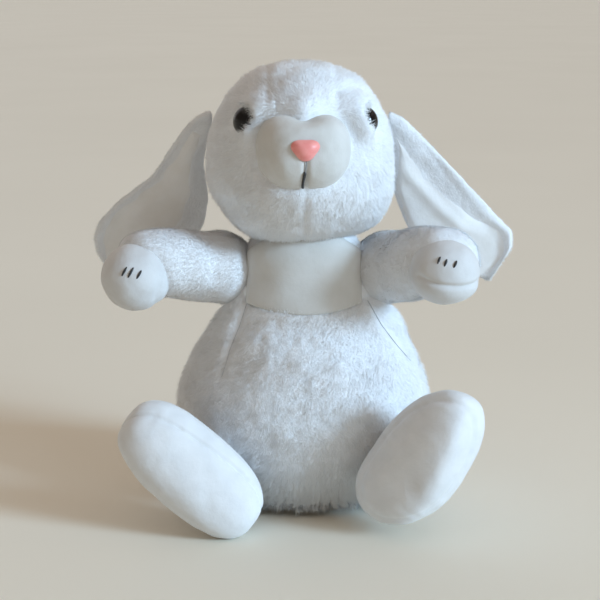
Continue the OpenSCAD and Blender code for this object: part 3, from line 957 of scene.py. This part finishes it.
def ear_edges(side, t):
    """How far an ear's cloth reaches from its middle line: outwards, and in towards the neck."""
    if side == LEFT:
        outer = along(t, (-0.07, 2), (0.05, 6), (0.36, 14), (0.6, 20), (0.83, 25), (0.93, 18), (1.03, -3))
        inner = along(t, (-0.07, 5), (0.11, 11), (0.3, 25), (0.5, 30), (0.68, 31), (0.85, 24), (1.03, 8))
    else:
        outer = along(t, (-0.07, 3), (0.05, 7), (0.38, 9), (0.6, 19), (0.75, 22), (0.84, 20), (0.95, 9), (1.03, -3))
        inner = along(t, (-0.07, 5), (0.07, 9), (0.2, 15), (0.36, 30), (0.5, 36), (0.7, 34), (0.85, 25), (1.03, 8))
    end = np.sqrt(np.clip((1.0 - t) / 0.1, 0, 1)) * np.sqrt(np.clip((t + 0.075) / 0.06, 0, 1))
    middle = (outer - inner) / 2
    half = (outer + inner) / 2 * end
    return middle + half, half - middle


def ear_rolls(side, t):
    """How wide a band of plush shows in front of the lining along the outer edge, and along the inner one."""
    if side == LEFT:
        return along(t, (0.0, 10), (0.2, 13), (0.5, 14), (0.66, 12), (0.78, 5), (1.0, 3)), 2.0 + 0 * t
    return 4.0 + 0 * t, along(t, (0.0, 3), (0.12, 4), (0.3, 10), (0.45, 14), (0.7, 12), (1.0, 5))


def lining_edges(side, t):
    """Where the lining starts and ends across the ear."""
    outer, inner = ear_edges(side, t)
    roll_out, roll_in = ear_rolls(side, t)
    return outer - roll_out, roll_in - inner


def ear_sheet(side, x, t, lift):
    """Puts cloth that is flat at (x, t), and lift in front of the ear's middle layer, on to the ear's bent form."""
    outer, inner = ear_edges(side, t)
    crease, inner_crease = lining_edges(side, t)
    roll_out = outer - crease
    valley, inner_curl, tip_curl = (1.8, 2.0, 3.5) if side == LEFT else (0.63, 7.0, 1.05)
    y = 3.0 - 2.6 * smooth(0.5 * outer, outer, x) * smooth(0.05, 0.4, t)
    y -= 1.5 * bump(x - crease - 0.5 * roll_out, 0.4 * roll_out + 1.5)
    y -= valley * bump(x - crease + 10, 4.5) * smooth(0.12, 0.3, t) * smooth(0.85, 0.6, t)
    y += inner_curl * smooth(inner_crease + 3, -inner, x) * smooth(0.02, 0.25, t)
    y -= tip_curl * smooth(0.8, 1.0, t)
    y += 1.1 * np.sin(t * 8 + x * 0.06) * smooth(0.1, 0.4, t)
    return np.stack([side * x, y - lift, -t * EAR_L], -1)


def ear(side, word):
    body = f"ear_{word}"
    place = Place((side * 61 - 2.5, 18, 232), ("x", 8), ("y", -side * 32))
    u = np.sin(np.linspace(-np.pi / 2, np.pi / 2, 73))
    u, t = np.meshgrid(u, np.linspace(-0.074, 0.9995, 150), indexing="ij")
    outer, inner = ear_edges(side, t)
    x = (outer - inner) / 2 + u * (outer + inner) / 2
    thick = 2.3 * np.sqrt(np.maximum(1 - np.abs(u) ** 5, 0))
    thick = thick * np.minimum(1, np.sqrt(np.clip((1 - t) / 0.03, 0.01, 1)))
    v, f = leaf(ear_sheet(side, x, t, thick), ear_sheet(side, x, t, -thick))
    v = place.out(v)
    v = puffed(v, f, 0.5 * noise(v, 12.0, 61) + 0.25 * noise(v, 5.0, 62))
    piece(f"{body}_back_skin", v, f, backing, "plush", body, [f"{body}_back"], fill=0.25)

    def ear_keep(p):
        q = place.into(p)
        tt, xx = -q[:, 2] / EAR_L, q[:, 0] * side
        high, low = lining_edges(side, tt)
        before = q[:, 1] < ear_sheet(side, xx, tt, 0 * tt)[:, 1]
        lined = (xx < high + 0.3) & (xx > low - 0.3) & (tt > LINING_TOP + 0.005) & (tt < LINING_END - 0.005)
        return np.where(before & lined, 0.0, 1.0)

    pile(f"{body}_back_pile", v, f, body, density=2.1, length=even(2.0),
         flow=one_way(place.way([side * 0.25, 0, -1.0])), keep=ear_keep, seed=130 + side, lean=71)

    u, t = np.meshgrid(np.linspace(-1, 1, 49), np.linspace(LINING_TOP, LINING_END, 120), indexing="ij")
    high, low = lining_edges(side, t)
    half = np.maximum(high - low, 1.0) / 2
    x = (high + low) / 2 + u * half
    edge = np.minimum((1 - np.abs(u)) * half, np.minimum((t - LINING_TOP) * 110, (LINING_END - t) * 110))
    lift = 1.2 + 2.2 * (1 - np.exp(-edge / 2.5))
    top = ear_sheet(side, x, t, lift)
    top[..., 1] += 0.5 * noise(top.reshape(-1, 3), 15.0, 63).reshape(t.shape) * smooth(0, 5, edge)
    v, f = leaf(top, ear_sheet(side, x, t, 0 * t))
    # The lining's lighter velour carries painted light against the head's shade.
    piece(f"{body}_lining_velour", place.out(v), f, ear_lining_painted_light, "velour", body, [f"{body}_lining"], fill=0.15)


for side, word in SIDES:
    ear(side, word)

# --- Arms

PAW_MIDDLE = {LEFT: np.array([82.0, -49, 153]), RIGHT: np.array([-100.3, -31, 146])}
PAW_R = 20.5
PAW_HEIGHT = {LEFT: 0.95, RIGHT: 1.0}  # a paw's height by its width
SLEEVE_TIP = {LEFT: (23.5, 51.0, 5.7), RIGHT: (23.0, 48.0, 7.5)}  # round end: radius, distance out, rise
CLAWS = {  # where each stitch runs on the paw, as degrees across and degrees up
    LEFT: [((-16, -19), (35, 24)), ((-3, -7), (31, 20)), ((15, 9), (28, 18))],
    RIGHT: [((-10, -17), (27, 13)), ((2, -6), (26, 11)), ((16, 8), (21, 9))],
}


def arm(side, word):
    body = f"arm_{word}"
    round_by, lift = (-53, 6) if side == LEFT else (208, -1)
    place = Place(shoulder(side), ("z", round_by), ("y", 90 - lift))
    tip_r, tip_at, tip_rise = SLEEVE_TIP[side]
    outline = np.concatenate([
        arc(-90, 10, 50, ARM_BALL_R, ARM_BALL_R), [[24.0, 14], [24.3, 26]], arc(0, 90, 40, tip_r, tip_r, tip_at)])
    v, f = soft_form(body, outline, 1.0, cap=1.8, inset=1.2, coarse=22,
                     held=lambda v: (v[:, 2] < 6) | (v[:, 2] > tip_at + 0.7 * tip_r))
    turned = np.arctan2(v[:, 1], v[:, 0])
    shift = 0.6 * noise(v, 20.0, 21) + 0.35 * noise(v, 8.0, 22)
    folds = np.sin(5 * turned + 1.5 * noise(v, 18.0, 23) + side)
    shift -= (0.9 * bump(v[:, 2] - 14, 8) + 0.4 * bump(v[:, 2] - 32, 7)) * (0.5 + 0.5 * folds)
    away = v[:, 2]
    v = place.out(puffed(v, f, shift))
    v[:, 2] += tip_rise * smooth(-4, 42, away)

    def outside_paw(p):
        return np.linalg.norm(p - PAW_MIDDLE[side], axis=1) - PAW_R + 0.2

    v = puffed(v, f, -1.3 * bump(outside_paw(v), 2.5))
    piece(f"{body}_skin", v, f, backing, "plush", body, [f"{body}_sleeve", f"{body}_stuffing"], fill=0.85)

    def keep(p):
        return ((outside_paw(p) > -0.6) & ~inside_torso(p)).astype(float)

    pile(f"{body}_pile", v, f, body, density=2.2, length=lambda p: 2.6 - 0.7 * bump(outside_paw(p), 3),
         flow=one_way(place.way([0, 0, 1.0]) + [0, 0, -0.35]), keep=keep, seed=140 + side, lean=70)

    dirs, pf = cube_sphere(44)
    pv = dirs * [PAW_R, PAW_R, PAW_R if side == RIGHT else PAW_R - 1]
    shift = 0.5 * noise(pv, 15.0, 24) + 0.25 * noise(pv, 6.0, 25)
    if side == LEFT:
        fold = pv[:, 2] + 4.7 + 0.15 * pv[:, 0] - 0.008 * pv[:, 0] ** 2
        shift -= 1.5 * bump(fold, 1.6) * smooth(2, -8, pv[:, 1]) * smooth(-19, -14, pv[:, 0])
        shift += 0.8 * bump(fold + 6, 5) * smooth(2, -8, pv[:, 1])
    else:
        fold = pv[:, 0] - 16 - 0.25 * pv[:, 2]
        shift -= 0.8 * bump(fold, 2.0) * smooth(6, -6, pv[:, 2])
    pv = PAW_MIDDLE[side] + puffed(pv, pf, shift)
    piece(f"{body}_paw_velour", pv, pf, velour, "velour", body, [f"{body}_paw"], fill=0.9)

    stitches = []
    for stitch in CLAWS[side]:
        d = heading(*(np.linspace(*ends, 9) for ends in stitch))
        sag = np.sin(np.linspace(0.25, np.pi - 0.25, 9))
        reach = PAW_R - (1.0 - PAW_HEIGHT[side]) * PAW_R * d[:, 2] ** 2
        stitches.append(tube(PAW_MIDDLE[side] + d * (reach - 0.15 + 0.45 * sag)[:, None], 0.35 + 0.4 * sag, 10))
    piece(f"{body}_claw_stitches", *join(stitches), thread, "thread", body, [f"{body}_claws"])


for side, word in SIDES:
    arm(side, word)

# --- Legs and feet

FOOT_DEPTH = 0.86  # by its width
FOOT_SHAPE = {  # half length, half width, shift outwards, shift towards the toe, fullness
    LEFT: (48.5, 27.6, 2.6, 4.2, 2.2),
    RIGHT: (49.6, 25.3, 2.0, 2.0, 2.75),
}


def leg(side, word):
    body = f"leg_{word}"
    middle, rise = ((65, -74, 44.5), 55) if side == LEFT else ((-63.5, -70, 39), 40.6)
    place = Place(middle, ("y", side * (90 - rise)))
    half_l, half_w, out_by, toe_by, power = FOOT_SHAPE[side]

    def seam(p):
        tilt = 0.62 if side == RIGHT else -0.25
        return p[:, 1] - SOLE_SEAM - tilt * (p[:, 0] * side) + (0.1 * p[:, 2] - 9 if side == RIGHT else 3)

    s = np.sin(np.linspace(-np.pi / 2, np.pi / 2, 120))
    outline = np.stack([half_w * (1 - np.abs(s) ** power) ** (1 / power), half_l * s], 1)
    v, f = soft_form(f"foot_{word}", outline, FOOT_DEPTH, cap=1.6, inset=0.3, coarse=22,
                     held=lambda v: np.abs(seam(v)) < 1.5)
    sole = smooth(2, -6, seam(v))
    shift = (-1.5 if side == RIGHT else -1.0) * bump(seam(v), 1.7)
    shift += 0.5 * noise(v, 18.0, 26) + 0.25 * noise(v, 7.0, 27)
    shift -= 0.12 * bump(seam(v), 5) * np.sin(v[:, 2] * 0.7 + 4 * noise(v, 14.0, 28))
    hollow = np.array([-side * 5.0, -24, -8.0])
    shift -= (2.4 if side == LEFT else 0.8) * sole * bump(np.linalg.norm((v - hollow) * [1, 0.3, 0.5], axis=1), 11)
    v = puffed(v, f, shift)
    outwards = v[:, 0] * side
    if side == LEFT:
        ridge = outwards - 7 + 0.3 * v[:, 2]
        v[:, 1] += 0.44 * np.sqrt(ridge ** 2 + 30) - 6.6
        v[:, 0] -= 5.5 * smooth(0.15, 1.0, -v[:, 2] / half_l)
    else:
        v[:, 1] += -0.22 * outwards + 0.10 * v[:, 2]
    v[:, 0] += side * out_by
    v[:, 2] += toe_by
    v = place.out(v)
    v[:, 2] = np.maximum(v[:, 2], 0.4 + 0.12 * v[:, 2])
    piece(f"foot_{word}_velour", v, f, foot_velour, "velour", body,
          [f"foot_{word}_upper", f"foot_{word}_sole", f"leg_{word}_stuffing"], fill=0.9)

    run = place.o + [0, 4, -7] - hip(side)
    length = np.linalg.norm(run)
    leg_place = Place(hip(side), ("z", math.degrees(math.atan2(run[1], run[0]))),
                      ("y", math.degrees(math.acos(run[2] / length))))
    ball = HIP_BALL_R - 5.0
    shank = [(LEG_R - 2.5, 18), (LEG_R - 3, length - 4), (LEG_R - 7, length), (0, length)]
    outline = np.concatenate([arc(-90, 35, 40, ball, ball), shank])
    dirs, lf = cube_sphere(30)
    lv = puffed(lathe(dirs, outline), lf, -PILE)
    lv = leg_place.out(puffed(lv, lf, 0.5 * noise(lv, 14.0, 29)))
    piece(f"{body}_skin", lv, lf, backing, "plush", body, [f"{body}_sleeve"], fill=0.85)

    def keep(p):
        q = place.into(p) - [side * out_by, 0, toe_by]
        across = np.hypot(q[:, 0] / half_w, q[:, 1] / (FOOT_DEPTH * half_w))
        in_foot = across ** 2 + (q[:, 2] / half_l) ** 2 < 0.85
        return (~in_foot & ~inside_torso(p)).astype(float)

    pile(f"{body}_pile", lv, lf, body, density=2.0, length=even(3.3),
         flow=one_way(unit(run[None])[0] + [0, 0, -0.4]), keep=keep, seed=150 + side)


for side, word in SIDES:
    leg(side, word)

for name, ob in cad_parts.items():
    if "washer" in name:
        for slot in ob.material_slots:
            slot.material = washer_white

# --- Floor, light and camera


def floor():
    me = bpy.data.meshes.new("floor")
    far, low = 40.0, -0.0002
    me.from_pydata([(x, y, low) for x, y in ((-far, -far), (far, -far), (far, far), (-far, far))], [], [(0, 1, 2, 3)])
    me.materials.append(grain(
        shader("floor_paint", (0.83, 0.78, 0.67), 0.8),
        [(60.0, 0.3), (4.0, 0.1)], [(0.82, 0.77, 0.66), (0.84, 0.79, 0.68)], 400.0, (0.75, 0.85), 0.2))
    in_scene("floor", me)


def lamp(name, kind, energy, colour, towards, where=(0, 0, 0), **extra):
    """A lamp that the rabbit sees in the direction towards. extra is set on its data."""
    data = bpy.data.lights.new(name, kind)
    put(data, energy=energy, color=colour, **extra)
    put(in_scene(name, data), location=where, rotation_euler=Vector(towards).to_track_quat("Z", "Y").to_euler())


def studio():
    """Cool light from the right, as in the photo, and warm light from the room."""
    floor()
    lamp("key", "SUN", 2.8, (0.54, 0.77, 1.0), (0.84, -0.42, 0.31), angle=math.radians(14))
    lamp("ceiling", "SUN", 0.6, (1.0, 0.92, 0.82), (0.2, 0.1, 1.0), angle=math.radians(100))
    lamp("behind", "SUN", 0.4, (0.9, 0.92, 1.0), (-0.35, 0.85, 0.45), angle=math.radians(70))
    lamp("window", "AREA", 6, (0.6, 0.82, 1.0), (1.3, -0.9, 0.68), where=(1.3, -0.9, 0.8), shape="DISK", size=0.9)
    world = bpy.data.worlds.new("studio")
    bpy.context.scene.world = world
    world.use_nodes = True
    nt = world.node_tree
    where = nt.nodes.new("ShaderNodeTexCoord")
    split = nt.nodes.new("ShaderNodeSeparateXYZ")
    sky = ramp(nt, (0.10, 0.30), [(0.50, 0.47, 0.41), (0.24, 0.19, 0.15)])
    sky.color_ramp.interpolation = "EASE"
    nt.links.new(where.outputs["Generated"], split.inputs[0])
    nt.links.new(split.outputs["Z"], sky.inputs[0])
    nt.links.new(sky.outputs[0], nt.nodes["Background"].inputs[0])
    cam = in_scene("camera", bpy.data.cameras.new("camera"))
    put(cam.data, lens=85.7, sensor_width=36.0, clip_start=0.02, clip_end=30)
    put(cam, location=(-0.0025, -0.8639, 0.32395), rotation_euler=(math.radians(77), 0, 0))
    bpy.context.scene.camera = cam
    put(bpy.context.scene.view_settings, view_transform="Standard", look="None", exposure=0.0, gamma=1.0)


studio()
